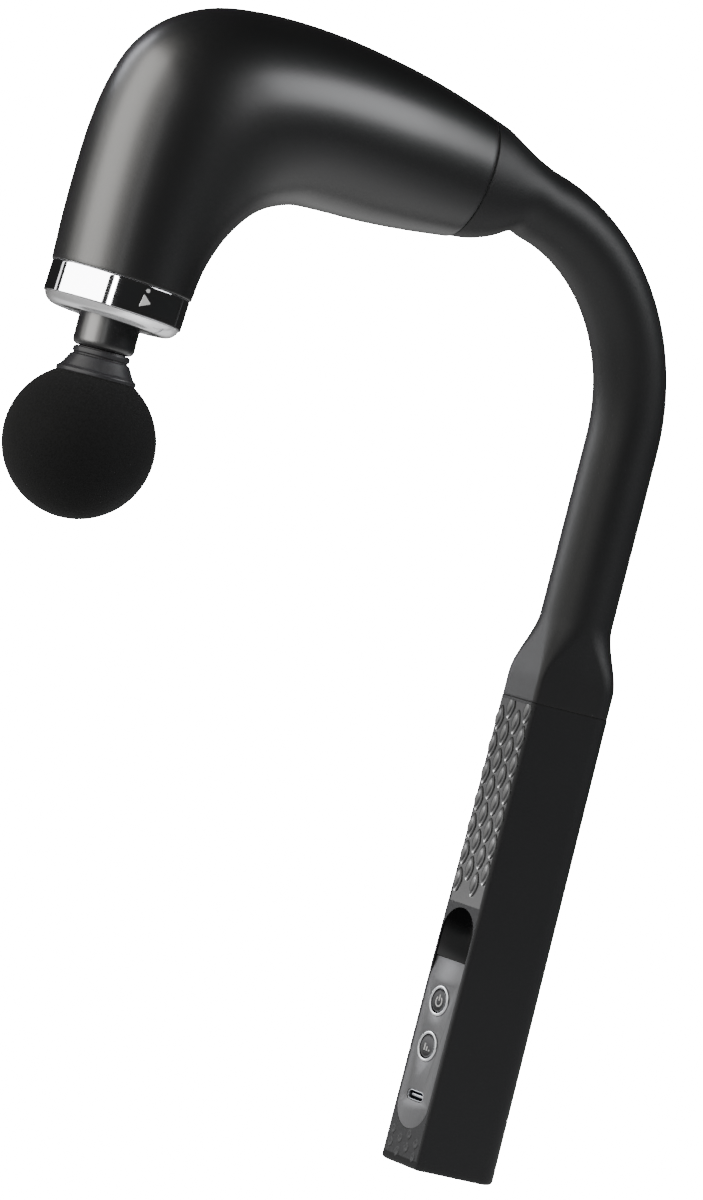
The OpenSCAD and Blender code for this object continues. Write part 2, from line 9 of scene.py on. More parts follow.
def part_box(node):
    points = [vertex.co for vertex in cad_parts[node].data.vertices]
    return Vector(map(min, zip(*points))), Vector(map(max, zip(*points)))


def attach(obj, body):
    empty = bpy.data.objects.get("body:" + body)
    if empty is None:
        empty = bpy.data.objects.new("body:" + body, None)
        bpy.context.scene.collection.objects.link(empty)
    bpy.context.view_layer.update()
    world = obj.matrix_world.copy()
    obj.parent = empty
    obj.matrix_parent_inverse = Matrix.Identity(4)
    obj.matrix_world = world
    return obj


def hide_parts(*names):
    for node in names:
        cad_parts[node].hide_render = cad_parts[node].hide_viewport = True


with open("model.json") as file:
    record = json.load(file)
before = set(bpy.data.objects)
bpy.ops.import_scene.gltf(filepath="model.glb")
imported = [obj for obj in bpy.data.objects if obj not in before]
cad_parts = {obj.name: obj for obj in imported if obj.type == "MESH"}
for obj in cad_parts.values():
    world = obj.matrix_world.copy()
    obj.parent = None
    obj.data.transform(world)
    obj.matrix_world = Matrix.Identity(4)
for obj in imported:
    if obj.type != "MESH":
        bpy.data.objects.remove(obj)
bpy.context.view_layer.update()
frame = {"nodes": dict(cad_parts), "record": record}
nodes = frame["nodes"]
slotOf = {part["node"]: part["material_slot"] for part in frame["record"]["subparts"]}
mm = 0.001
print("frame loaded:", len(nodes), "nodes")


# Shared material effects

def newGroup(name, inputs, outputs):
    tree = bpy.data.node_groups.new(name, "ShaderNodeTree")
    for socketName, kind, value in inputs:
        socket = tree.interface.new_socket(name=socketName, in_out="INPUT", socket_type=kind)
        socket.default_value = value
    for socketName, kind in outputs:
        tree.interface.new_socket(name=socketName, in_out="OUTPUT", socket_type=kind)
    return tree, tree.nodes.new("NodeGroupInput"), tree.nodes.new("NodeGroupOutput")


def mathNode(tree, operation, first, second=None):
    node = tree.nodes.new("ShaderNodeMath")
    node.operation = operation
    for index, value in enumerate((first, second)):
        if isinstance(value, bpy.types.NodeSocket):
            tree.links.new(value, node.inputs[index])
        elif value is not None:
            node.inputs[index].default_value = value
    return node.outputs[0]


def noiseNode(tree, vector, scale, detail):
    node = tree.nodes.new("ShaderNodeTexNoise")
    node.inputs["Detail"].default_value = detail
    tree.links.new(vector, node.inputs["Vector"])
    tree.links.new(scale, node.inputs["Scale"])
    return node.outputs["Fac"]


def mixColor(tree, amount, first, second):
    node = tree.nodes.new("ShaderNodeMix")
    node.data_type = "RGBA"
    tree.links.new(amount, node.inputs["Factor"])
    for socket, value in ((node.inputs["A"], first), (node.inputs["B"], second)):
        if isinstance(value, bpy.types.NodeSocket):
            tree.links.new(value, socket)
        else:
            socket.default_value = value
    return node.outputs["Result"]


def makeGrainGroup():  # mould grain with broad patches of handling polish
    tree, source, result = newGroup(
        "mouldGrain",
        [("Color", "NodeSocketColor", (0.5, 0.5, 0.5, 1)),
         ("Patch Color", "NodeSocketColor", (0.5, 0.5, 0.5, 1)),
         ("Grain Scale", "NodeSocketFloat", 1500.0), ("Patch Scale", "NodeSocketFloat", 40.0),
         ("Roughness", "NodeSocketFloat", 0.5), ("Variation", "NodeSocketFloat", 0.1)],
        [("Color", "NodeSocketColor"), ("Roughness", "NodeSocketFloat"), ("Height", "NodeSocketFloat")])
    place = tree.nodes.new("ShaderNodeTexCoord").outputs["Object"]
    grain = noiseNode(tree, place, source.outputs["Grain Scale"], 3.0)
    patch = noiseNode(tree, place, source.outputs["Patch Scale"], 4.0)
    color = mixColor(tree, patch, source.outputs["Color"], source.outputs["Patch Color"])
    wobble = mathNode(tree, "ADD", mathNode(tree, "MULTIPLY", patch, 0.7),
                      mathNode(tree, "MULTIPLY", grain, 0.3))
    swing = mathNode(tree, "MULTIPLY", mathNode(tree, "SUBTRACT", wobble, 0.5), source.outputs["Variation"])
    rough = mathNode(tree, "ADD", source.outputs["Roughness"], swing)
    tree.links.new(color, result.inputs["Color"])
    tree.links.new(rough, result.inputs["Roughness"])
    tree.links.new(grain, result.inputs["Height"])
    return tree


def makePoreGroup():  # fine closed cells of moulded foam
    tree, source, result = newGroup(
        "foamPores",
        [("Color", "NodeSocketColor", (0.02, 0.02, 0.02, 1)),
         ("Pore Color", "NodeSocketColor", (0.01, 0.01, 0.01, 1)),
         ("Pore Scale", "NodeSocketFloat", 1400.0), ("Patch Scale", "NodeSocketFloat", 60.0)],
        [("Color", "NodeSocketColor"), ("Roughness", "NodeSocketFloat"), ("Height", "NodeSocketFloat")])
    place = tree.nodes.new("ShaderNodeTexCoord").outputs["Object"]
    cells = tree.nodes.new("ShaderNodeTexVoronoi")
    tree.links.new(place, cells.inputs["Vector"])
    tree.links.new(source.outputs["Pore Scale"], cells.inputs["Scale"])
    patch = noiseNode(tree, place, source.outputs["Patch Scale"], 3.0)
    wall = mathNode(tree, "MINIMUM", mathNode(tree, "MULTIPLY", cells.outputs["Distance"], 1.6), 1.0)
    shade = mathNode(tree, "MULTIPLY", wall,
                     mathNode(tree, "ADD", mathNode(tree, "MULTIPLY", patch, 0.6), 0.7))
    tree.links.new(mixColor(tree, shade, source.outputs["Pore Color"], source.outputs["Color"]),
                   result.inputs["Color"])
    rough = mathNode(tree, "ADD", mathNode(tree, "MULTIPLY", patch, 0.2), 0.75)
    tree.links.new(rough, result.inputs["Roughness"])
    tree.links.new(wall, result.inputs["Height"])
    return tree


def makeBrushGroup():  # fine turning and brushing lines along one axis
    tree, source, result = newGroup(
        "brushedLines",
        [("Color", "NodeSocketColor", (0.7, 0.7, 0.7, 1)),
         ("Line Color", "NodeSocketColor", (0.5, 0.5, 0.5, 1)),
         ("Stretch", "NodeSocketVector", (200.0, 200.0, 4000.0)), ("Roughness", "NodeSocketFloat", 0.2),
         ("Variation", "NodeSocketFloat", 0.1)],
        [("Color", "NodeSocketColor"), ("Roughness", "NodeSocketFloat"), ("Height", "NodeSocketFloat")])
    place = tree.nodes.new("ShaderNodeTexCoord").outputs["Object"]
    stretch = tree.nodes.new("ShaderNodeVectorMath")
    stretch.operation = "MULTIPLY"
    tree.links.new(place, stretch.inputs[0])
    tree.links.new(source.outputs["Stretch"], stretch.inputs[1])
    lines = tree.nodes.new("ShaderNodeTexNoise")
    lines.inputs["Scale"].default_value = 1.0
    lines.inputs["Detail"].default_value = 4.0
    tree.links.new(stretch.outputs[0], lines.inputs["Vector"])
    line = lines.outputs["Fac"]
    tree.links.new(mixColor(tree, line, source.outputs["Line Color"], source.outputs["Color"]),
                   result.inputs["Color"])
    swing = mathNode(tree, "MULTIPLY", mathNode(tree, "SUBTRACT", line, 0.5), source.outputs["Variation"])
    tree.links.new(mathNode(tree, "ADD", source.outputs["Roughness"], swing), result.inputs["Roughness"])
    tree.links.new(line, result.inputs["Height"])
    return tree


effects = {"grain": makeGrainGroup(), "pores": makePoreGroup(), "brush": makeBrushGroup()}
effectSockets = {"patchColor": "Patch Color", "grainScale": "Grain Scale", "patchScale": "Patch Scale",
                 "roughness": "Roughness", "variation": "Variation", "poreColor": "Pore Color",
                 "poreScale": "Pore Scale", "lineColor": "Line Color", "stretch": "Stretch", "color": "Color"}
shaderSockets = {"metallic": "Metallic", "coat": "Coat Weight", "coatRoughness": "Coat Roughness",
                 "specular": "Specular IOR Level", "sheen": "Sheen Weight",
                 "sheenRoughness": "Sheen Roughness"}


def makeFinish(name, look):
    material = bpy.data.materials.new(name)
    material.use_nodes = True
    tree = material.node_tree
    shader = tree.nodes["Principled BSDF"]
    effect = tree.nodes.new("ShaderNodeGroup")
    effect.node_tree = effects[look["effect"]]
    for key, value in look.items():
        if key in effectSockets and effectSockets[key] in effect.inputs:
            effect.inputs[effectSockets[key]].default_value = (*value, 1) if "olor" in key else value
        if key in shaderSockets:
            shader.inputs[shaderSockets[key]].default_value = value
    bump = tree.nodes.new("ShaderNodeBump")
    bump.inputs["Strength"].default_value = look["bump"]
    bump.inputs["Distance"].default_value = look["depth"] * mm
    tree.links.new(effect.outputs["Color"], shader.inputs["Base Color"])
    tree.links.new(effect.outputs["Roughness"], shader.inputs["Roughness"])
    tree.links.new(effect.outputs["Height"], bump.inputs["Height"])
    tree.links.new(bump.outputs["Normal"], shader.inputs["Normal"])
    material.diffuse_color = (*look["color"], 1)
    return material


finishLooks = {
    "head_gloss": dict(effect="grain", color=(0.004, 0.004, 0.0045), patchColor=(0.0055, 0.0055, 0.006),
                       grainScale=900.0, patchScale=25.0, roughness=0.42, variation=0.05, bump=0.12,
                       depth=0.02, coat=1.0, coatRoughness=0.3, specular=0.35),
    "collar_chrome": dict(effect="brush", color=(0.86, 0.86, 0.88), lineColor=(0.8, 0.8, 0.83),
                          stretch=(150.0, 150.0, 2500.0), roughness=0.05, variation=0.05, bump=0.05,
                          depth=0.004, metallic=1.0),
    "ring_pale": dict(effect="brush", color=(0.88, 0.88, 0.89), lineColor=(0.8, 0.8, 0.82),
                      stretch=(150.0, 150.0, 2500.0), roughness=0.2, variation=0.1, bump=0.05, depth=0.004,
                      metallic=0.8),
    "mark_white": dict(effect="grain", color=(0.88, 0.88, 0.87), patchColor=(0.82, 0.82, 0.81),
                       grainScale=2000.0, patchScale=300.0, roughness=0.4, variation=0.1, bump=0.1,
                       depth=0.01),
    "matte_black": dict(effect="grain", color=(0.008, 0.008, 0.009), patchColor=(0.0105, 0.0105, 0.0115),
                        grainScale=2600.0, patchScale=35.0, roughness=0.5, variation=0.08, bump=0.25,
                        depth=0.03, specular=0.4),
    "scale_black": dict(effect="grain", color=(0.007, 0.007, 0.0075), patchColor=(0.009, 0.009, 0.0095),
                        grainScale=2300.0, patchScale=30.0, roughness=0.34, variation=0.08, bump=0.15,
                        depth=0.02, specular=0.7, coat=0.6, coatRoughness=0.25),
    "soft_black": dict(effect="grain", color=(0.008, 0.008, 0.0088), patchColor=(0.011, 0.011, 0.0115),
                       grainScale=2300.0, patchScale=30.0, roughness=0.46, variation=0.08, bump=0.2,
                       depth=0.03, specular=0.45, sheen=0.03, sheenRoughness=0.5),
    "panel_grey": dict(effect="brush", color=(0.15, 0.15, 0.155), lineColor=(0.115, 0.115, 0.12),
                       stretch=(3000.0, 3000.0, 150.0), roughness=0.38, variation=0.15, bump=0.08, depth=0.01,
                       metallic=0.3),
    "display_black": dict(effect="grain", color=(0.002, 0.002, 0.0025), patchColor=(0.003, 0.003, 0.0035),
                          grainScale=600.0, patchScale=80.0, roughness=0.12, variation=0.04, bump=0.03,
                          depth=0.01, specular=0.4),
    "ring_silver": dict(effect="brush", color=(0.78, 0.79, 0.81), lineColor=(0.7, 0.71, 0.73),
                        stretch=(2500.0, 300.0, 300.0), roughness=0.16, variation=0.1, bump=0.05, depth=0.005,
                        metallic=1.0),
    "button_black": dict(effect="brush", color=(0.22, 0.22, 0.23), lineColor=(0.15, 0.15, 0.16),
                         stretch=(2500.0, 300.0, 300.0), roughness=0.24, variation=0.12, bump=0.08,
                         depth=0.01, metallic=0.8),
    "sleeve_black": dict(effect="brush", color=(0.006, 0.006, 0.007), lineColor=(0.009, 0.009, 0.01),
                         stretch=(150.0, 150.0, 3000.0), roughness=0.32, variation=0.1, bump=0.06, depth=0.01,
                         coat=1.0, coatRoughness=0.25, specular=0.7),
    "bronze": dict(effect="grain", color=(0.45, 0.3, 0.15), patchColor=(0.35, 0.23, 0.11), grainScale=2500.0,
                   patchScale=200.0, roughness=0.4, variation=0.2, bump=0.3, depth=0.03, metallic=1.0),
    "frame_nylon": dict(effect="grain", color=(0.035, 0.037, 0.04), patchColor=(0.05, 0.052, 0.056),
                        grainScale=1500.0, patchScale=90.0, roughness=0.6, variation=0.2, bump=0.3,
                        depth=0.05),
    "cast_alloy": dict(effect="grain", color=(0.5, 0.51, 0.53), patchColor=(0.42, 0.43, 0.45),
                       grainScale=1600.0,
                       patchScale=120.0, roughness=0.42, variation=0.2, bump=0.3, depth=0.03, metallic=1.0),
    "steel": dict(effect="brush", color=(0.5, 0.51, 0.53), lineColor=(0.38, 0.39, 0.41),
                  stretch=(400.0, 2500.0, 2500.0), roughness=0.28, variation=0.18, bump=0.15, depth=0.01,
                  metallic=1.0),
    "copper": dict(effect="brush", color=(0.62, 0.26, 0.11), lineColor=(0.3, 0.1, 0.04),
                   stretch=(9000.0, 1500.0, 1500.0), roughness=0.32, variation=0.2, bump=0.6, depth=0.12,
                   metallic=0.9),
    "board_green": dict(effect="grain", color=(0.012, 0.09, 0.045), patchColor=(0.02, 0.12, 0.06),
                        grainScale=1200.0, patchScale=220.0, roughness=0.35, variation=0.2, bump=0.2,
                        depth=0.03),
    "cable_red": dict(effect="grain", color=(0.22, 0.012, 0.012), patchColor=(0.3, 0.02, 0.02),
                      grainScale=1500.0, patchScale=100.0, roughness=0.5, variation=0.15, bump=0.2,
                      depth=0.03),
    "display_white": dict(effect="grain", color=(0.7, 0.7, 0.7), patchColor=(0.62, 0.62, 0.62),
                          grainScale=1500.0,
                          patchScale=200.0, roughness=0.4, variation=0.1, bump=0.1, depth=0.02),
    "cell_blue": dict(effect="grain", color=(0.03, 0.1, 0.3), patchColor=(0.04, 0.13, 0.36), grainScale=900.0,
                      patchScale=60.0, roughness=0.3, variation=0.1, bump=0.2, depth=0.05, coat=0.3),
    "stem_grey": dict(effect="grain", color=(0.036, 0.036, 0.04), patchColor=(0.048, 0.048, 0.052),
                      grainScale=1800.0, patchScale=90.0, roughness=0.34, variation=0.15, bump=0.2,
                      depth=0.03, specular=0.7),
    "seal_red": dict(effect="grain", color=(0.2, 0.02, 0.02), patchColor=(0.26, 0.03, 0.03),
                     grainScale=1500.0, patchScale=200.0, roughness=0.5, variation=0.1, bump=0.1, depth=0.02),
    "ball_foam": dict(effect="pores", color=(0.0095, 0.0095, 0.01), poreColor=(0.0045, 0.0045, 0.0048),
                      poreScale=1300.0, patchScale=70.0, bump=0.5, depth=0.12, specular=0.2, sheen=0.04,
                      sheenRoughness=0.6),
}
finishes = {name: makeFinish(name, look) for name, look in finishLooks.items()}
for nodeName, nodeObject in nodes.items():
    nodeObject.data.materials.clear()
    nodeObject.data.materials.append(finishes[slotOf[nodeName]])
print("finishes made:", len(finishes))


# Mesh tools

def meshObject(name, points, faces):
    mesh = bpy.data.meshes.new(name)
    mesh.from_pydata([Vector(p) * mm for p in points], [], faces)
    piece = bpy.data.objects.new(name, mesh)
    bpy.context.collection.objects.link(piece)
    tidyMesh(piece)
    return piece


def tidyMesh(piece, angle=35):  # merged, outward and smooth but for its edges
    mesh = bmesh.new()
    mesh.from_mesh(piece.data)
    bmesh.ops.remove_doubles(mesh, verts=mesh.verts, dist=0.002 * mm)
    bmesh.ops.recalc_face_normals(mesh, faces=mesh.faces)
    mesh.to_mesh(piece.data)
    mesh.free()
    piece.data.shade_smooth()
    piece.data.set_sharp_from_angle(angle=math.radians(angle))


def applyModifiers(piece, angle=35):
    result = bpy.data.meshes.new_from_object(piece.evaluated_get(bpy.context.evaluated_depsgraph_get()))
    piece.modifiers.clear()
    piece.data = result
    tidyMesh(piece, angle)


def combine(piece, other, operation, angle=35):
    modifier = piece.modifiers.new("combine", "BOOLEAN")
    modifier.operation = operation
    modifier.object = other
    modifier.solver = "EXACT"
    applyModifiers(piece, angle)
    bpy.data.objects.remove(other)


def roundEdges(piece, width, angle=40, segments=2):
    modifier = piece.modifiers.new("roundedEdges", "BEVEL")
    modifier.width = width * mm
    modifier.segments = segments
    modifier.limit_method = "ANGLE"
    modifier.angle_limit = math.radians(angle)
    modifier.harden_normals = False
    applyModifiers(piece)


def joinPieces(piece, *others):
    mesh = bmesh.new()
    for item in (piece, *others):
        mesh.from_mesh(item.data)
    mesh.to_mesh(piece.data)
    mesh.free()
    for item in others:
        bpy.data.objects.remove(item)
    tidyMesh(piece)
    return piece


def finishPiece(piece, node, body, look=None):
    slot = slotOf[node]
    piece.data.materials.clear()
    piece.data.materials.append(finishes[look or slot])
    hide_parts(node)
    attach(piece, body)


def ringFaces(rows, count, closed):
    faces = []
    for i in range(rows if closed else rows - 1):
        for j in range(count):
            a, b = i * count, ((i + 1) % rows) * count
            k = (j + 1) % count
            faces.append((a + j, a + k, b + k, b + j))
    return faces


def tubeWall(name, outer, inner):  # closed wall between two stacks of rings
    rings = outer + inner[::-1]
    points = [p for ring in rings for p in ring]
    return meshObject(name, points, ringFaces(len(rings), len(outer[0]), True))


def roundedProfile(corners, steps=4):  # corners are (radius, height, rounding)
    points = []
    count = len(corners)
    for i, corner in enumerate(corners):
        here = Vector(corner[:2])
        rounding = corner[2] if len(corner) > 2 else 0
        before, after = Vector(corners[i - 1][:2]) - here, Vector(corners[(i + 1) % count][:2]) - here
        if rounding == 0:
            points.append(here)
            continue
        start = here + before.normalized() * rounding
        end = here + after.normalized() * rounding
        taken = [(*corners[i - 1], 0)[2], (*corners[(i + 1) % count], 0)[2]]
        room = [min(0.35, 0.4 * (side.length - rounding - t)) for side, t in zip((before, after), taken)]
        if room[0] > 0.01:  # a holding point keeps the flat wall flat up to the rounding
            points.append(start + before.normalized() * room[0])
        for step in range(steps + 1):
            t = step / steps
            points.append(start * (1 - t) ** 2 + here * 2 * t * (1 - t) + end * t * t)
        if room[1] > 0.01:
            points.append(end + after.normalized() * room[1])
    return points


def lathe(name, corners, centre, axis="Z", count=128, steps=4):
    profile = roundedProfile(corners, steps)
    points = []
    for r, h in profile:
        for j in range(count):
            a = 2 * math.pi * j / count
            x, y = r * math.cos(a), r * math.sin(a)
            local = (x, y, h) if axis == "Z" else (h, x, y)
            points.append(Vector(centre) + Vector(local))
    return meshObject(name, points, ringFaces(len(profile), count, True))


def arcPoints(cx, cy, r, start, end, steps):
    return [(cx + r * math.cos(math.radians(start + (end - start) * i / steps)),
             cy + r * math.sin(math.radians(start + (end - start) * i / steps))) for i in range(steps + 1)]


def flatPlate(name, outlines, back, front, bevel):  # outlines are (y, z) loops on the grip's face
    curve = bpy.data.curves.new(name, "CURVE")
    curve.dimensions = "2D"
    curve.fill_mode = "BOTH"
    curve.extrude = ((back - front) / 2 - bevel) * mm
    curve.bevel_depth = bevel * mm
    curve.offset = -bevel * mm
    curve.bevel_resolution = 2
    for outline in outlines:
        spline = curve.splines.new("POLY")
        spline.points.add(len(outline) - 1)
        for point, (y, z) in zip(spline.points, outline):
            point.co = (-y * mm, z * mm, 0, 1)
        spline.use_cyclic_u = True
    flat = bpy.data.objects.new(name, curve)
    bpy.context.collection.objects.link(flat)
    mesh = bpy.data.meshes.new_from_object(flat.evaluated_get(bpy.context.evaluated_depsgraph_get()))
    bpy.data.objects.remove(flat)
    turn = Matrix(((0, 0, -1, (back + front) / 2 * mm), (-1, 0, 0, 0), (0, 1, 0, 0), (0, 0, 0, 1)))
    mesh.transform(turn)
    piece = bpy.data.objects.new(name, mesh)
    bpy.context.collection.objects.link(piece)
    tidyMesh(piece)
    return piece


def boxMesh(name, low, high):
    points = [(x, y, z) for x in (low[0], high[0]) for y in (low[1], high[1]) for z in (low[2], high[2])]
    faces = [(0, 1, 3, 2), (4, 6, 7, 5), (0, 4, 5, 1), (2, 3, 7, 6), (0, 2, 6, 4), (1, 5, 7, 3)]
    return meshObject(name, points, faces)


def smoothStations(stations, steps):  # passes a smooth curve through every station
    rows = []
    last = len(stations) - 1
    for i in range(last):
        a, b, c, d = (stations[min(max(i + k, 0), last)] for k in (-1, 0, 1, 2))
        for step in range(steps):
            t = step / steps
            rows.append([0.5 * (2 * q + (r - p) * t + (2 * p - 5 * q + 4 * r - s) * t * t
                                + (3 * q - p - 3 * r + s) * t ** 3) for p, q, r, s in zip(a, b, c, d)])
    return rows + [list(stations[last])]


def ovalRing(station, inset, count):  # station is top x, z, bottom x, z and half width
    tx, tz, bx, bz, half = station
    reach = math.hypot(tx - bx, tz - bz) / 2
    k = (reach - inset) / reach / 2
    ring = []
    for j in range(count):
        a = 2 * math.pi * (j + 0.5) / count
        ring.append(((tx + bx) / 2 + (tx - bx) * k * math.cos(a), (half - inset) * math.sin(a),
                     (tz + bz) / 2 + (tz - bz) * k * math.cos(a)))
    return ring


# Sizes shared by several pieces, in millimetres

def boxMm(node):
    low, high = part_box(node)
    return [v / mm for v in low], [v / mm for v in high]


sleeveLow, sleeveHigh = boxMm("plunger")
panelLow, panelHigh = boxMm("control_panel")
lensLow, lensHigh = boxMm("display_lens")
noseX = (sleeveLow[0] + sleeveHigh[0]) / 2
faceX = panelLow[0]
gripTop = boxMm("grip_barrel")[1][2]
wall = 2.2
ringCount = 144
nose = dict(seamX=-202.6, seamZ=254.1, radius=22.6, lean=math.radians(3.8), collar=22.2, collarHeight=9.8,
            ringHeight=3.4)

grip = dict(faceHalf=9.8, backX=7.4, backY=9.4, backRadius=6.0, widthEnd=1.055, taper=0.96, cornerEnd=1.0,
            cornerTop=2.1)


def gripOutline(z, inset, corner=None):
    share = min(max(z / gripTop, 0), 1)
    if corner is None:
        corner = grip["cornerEnd"] + (grip["cornerTop"] - grip["cornerEnd"]) * min(max((share - 0.45) / 0.3,
                                                                                       0), 1)
    frontR = max(corner - inset, 0.6)
    frontY = grip["faceHalf"] - 0.75 * inset - frontR
    backR = grip["backRadius"] - inset
    circles = [(faceX + inset + frontR, s * frontY, frontR) for s in (1, -1)]
    circles += [(grip["backX"], s * grip["backY"], backR) for s in (1, -1)]
    k = grip["widthEnd"] * (1 - (1 - grip["taper"]) * share)
    outline = []
    for j in range(ringCount):
        a = 2 * math.pi * (j + 0.5) / ringCount
        x, y, r = max(circles, key=lambda c: c[0] * math.cos(a) + c[1] * math.sin(a) + c[2])
        outline.append((faceX + (x + r * math.cos(a) - faceX) * k, (y + r * math.sin(a)) * k))
    return outline


def gripRing(z, inset, height=None):
    return [(x, y, z if height is None else height) for x, y in gripOutline(z, inset)]


# Head

def seamPoint(side):
    return (nose["seamX"] + side * nose["radius"] * math.cos(nose["lean"]),
            nose["seamZ"] - side * nose["radius"] * math.sin(nose["lean"]))


def leanOnNose(piece):  # moves a piece made about the seam's middle onto the leaning axis
    piece.data.transform(Matrix.Translation(Vector((nose["seamX"], 0, nose["seamZ"])) * mm)
                         @ Matrix.Rotation(nose["lean"], 4, "Y"))


headStations = [
    (-83.9, 336, -88.8, 295, 13.5), (-102.5, 340.3, -105.7, 293.1, 17), (-122.8, 343.7, -122, 291.9, 20.2),
    (-147.3, 346.2, -137.7, 291.5, 22.4), (-171.3, 346.3, -148.4, 290.9, 23.6),
    (-192.1, 343.5, -155.2, 289.1, 24.2), (-207.4, 336.4, -160.6, 286.7, 24.3),
    (-216.9, 326.4, -165.2, 283.5, 24.2), (-221.9, 314, -169.3, 279.2, 23.9),
    (-224.3, 300.6, -173.1, 274, 23.5), (-225.2, 286.8, -176.3, 267.8, 23.1),
    (-225.5, 271.4, -178.7, 260.9, 22.8), (*seamPoint(-1), *seamPoint(1), nose["radius"])]


def makeHeadShell():
    settings = dict(steps=7, edge=0.35)
    rows = smoothStations(headStations, settings["steps"])
    piece = tubeWall("headShell", [ovalRing(s, 0, ringCount) for s in rows],
                     [ovalRing(s, wall, ringCount) for s in rows])
    roundEdges(piece, settings["edge"], 50, 3)
    finishPiece(piece, "head_shell", "housing")


def makeNoseRings():
    s = dict(inner=19.05, lip=19.95, lipHeight=2.1, low=21.9, edge=0.7, ringInner=17.05, ringEdge=4.4,
             gap=0.12)
    low = -nose["collarHeight"]
    collar = lathe("noseCollar", [
        (s["inner"], low), (nose["collar"] - 0.05, low, 0.25), (nose["collar"], 0, s["edge"]), (s["lip"], 0),
        (s["lip"], s["lipHeight"]), (s["inner"], s["lipHeight"])], (0, 0, 0), count=192, steps=6)
    leanOnNose(collar)
    finishPiece(collar, "nose_collar", "housing")
    bottom = low - nose["ringHeight"]
    r = s["ringEdge"]
    curve = [(s["low"] - 0.1 - r + x, bottom + r + z) for x, z in arcPoints(0, 0, r, -90, -16, 12)]
    ring = lathe("lowerRing", [(s["ringInner"], bottom), *curve, (s["low"] - 0.1, low - s["gap"]),
                               (s["ringInner"], low - s["gap"])], (0, 0, 0), count=192)
    notch = boxMesh("notch", (-0.5, -30, bottom - 1), (0.5, -18.4, bottom + 2.1))
    notch.data.transform(Matrix.Rotation(math.radians(20), 4, "Z"))
    combine(ring, notch, "DIFFERENCE")
    leanOnNose(ring)
    finishPiece(ring, "lower_ring", "housing", look="ring_pale")


def makeCollarMark():
    s = dict(radius=nose["collar"], drop=5.1, dotX=-0.2, dotZ=3.2, dotRadius=0.62, turn=math.radians(-8))
    arrow = [(-1.7, -2.2), (1.9, -0.4), (-1.1, 1.9)]
    outline = [Vector(p) for p in roundedProfile([(*p, 0.3) for p in arrow])]
    dot = arcPoints(s["dotX"], s["dotZ"], s["dotRadius"], 0, 350, 23)
    piece = flatPlate("collarMark", [[tuple(p) for p in outline], dot], 0.35, -0.1, 0.03)
    for vertex in piece.data.vertices:  # wraps the flat mark round the collar
        depth, across, up = (v / mm for v in vertex.co)
        angle = across / s["radius"] + s["turn"]
        r = s["radius"] - depth
        vertex.co = Vector((r * math.sin(angle), -r * math.cos(angle), up - s["drop"])) * mm
    tidyMesh(piece)
    leanOnNose(piece)
    finishPiece(piece, "collar_mark", "housing")


def makeNoseUnderside():
    plate = lathe("nosePlate", [(11.2, -12.5, 0.3), (16.9, -12.5), (16.9, -9.7), (18.9, -9.7), (18.9, -2.1),
                                (14, -2.1), (14, -11.5), (11.2, -11.5, 0.3)], (0, 0, 0))
    leanOnNose(plate)
    finishPiece(plate, "nose_plate", "housing")
    seal = lathe("dustSeal",
                 [(10.15, 243.6, 0.25), (13.1, 243.6), (13.1, 247.3), (11.7, 247.3), (10.15, 245, 0.2)],
                 (noseX, 0, 0))
    finishPiece(seal, "dust_seal", "housing")


def makePlunger():
    s = dict(outer=9.8, bore=6.05, low=sleeveLow[2], top=sleeveHigh[2], edge=2.2)
    piece = lathe("plungerSleeve", [(s["bore"], s["low"], 0.2), (s["outer"], s["low"], s["edge"]),
                                    (s["outer"], s["top"]), (1.6, s["top"]), (1.6, 270), (3, 270), (3, 262),
                                    (s["bore"], 262)], (noseX, 0, 0), steps=6)
    finishPiece(piece, "plunger", "plunger_unit")


def makeBallHead():
    s = dict(stem=6.0, top=sleeveLow[2] - 0.1, lip=12.7, ballZ=202.5, ball=24.0, core=13.0)
    neck = lathe("attachmentNeck", [
        (0, 198), (4.95, 198), (4.95, 219.6), (10, 221.9), (12.0, 222.6), (s["lip"], 223.05, 0.3),
        (s["lip"], 224.2, 0.35), (11.6, 224.9, 0.2), (9.75, 228.1, 0.2), (9.4, 228.75, 0.25),
        (8.6, 229.05, 0.1), (8.6, 229.4, 0.1), (9.05, 229.7, 0.15), (9.05, 231.1, 0.3), (8.5, 231.3, 0.1),
        (8.5, s["top"], 0.1), (s["stem"], s["top"]), (s["stem"], 251.7), (4.8, 251.7), (4.8, 250.1),
        (s["stem"], 250.1), (s["stem"], 256), (5.2, 257, 0.2), (0, 257)], (noseX, 0, 0))
    finishPiece(neck, "attachment_stem", "ball_head")
    turns = 64
    start = math.degrees(math.acos(12.2 / s["ball"]))
    skin = [(r, s["ballZ"] + h) for r, h in arcPoints(0, 0, s["ball"] - 0.06, start, -90, turns)]
    skin[-1] = (0, skin[-1][1])
    core = [(r, s["ballZ"] + h) for r, h in arcPoints(0, 0, s["core"], -90, 60, 24)]
    core[0] = (0, core[0][1])
    ball = lathe("foamBall", skin + core + [(5.1, 214), (5.1, 219.4), (10.1, 221.7), (12.0, 222.4)],
                 (noseX, 0, 0),
                 count=160)
    finishPiece(ball, "ball_foam", "ball_head")


# Neck

neckPath = dict(radius=12.1, bore=9.3, bend=68.5, bendStart=245.5, bendAngle=80, flareStart=7.5,
                flareLength=22.0)
flangeStations = [
    (-62.5, 327.5, -65.6, 302.4, 12.2), (-69.3, 330.6, -73.8, 298.5, 12.7), (-76.3, 333.8, -81, 296.3, 13.2),
    (-83.6, 335.8, -88.4, 295.4, 13.4)]


def bendStation(angle):
    a = math.radians(angle)
    values = []
    for r in (neckPath["bend"] + neckPath["radius"], neckPath["bend"] - neckPath["radius"]):
        values += [r * math.cos(a) - neckPath["bend"], r * math.sin(a) + neckPath["bendStart"]]
    return (*values, neckPath["radius"])


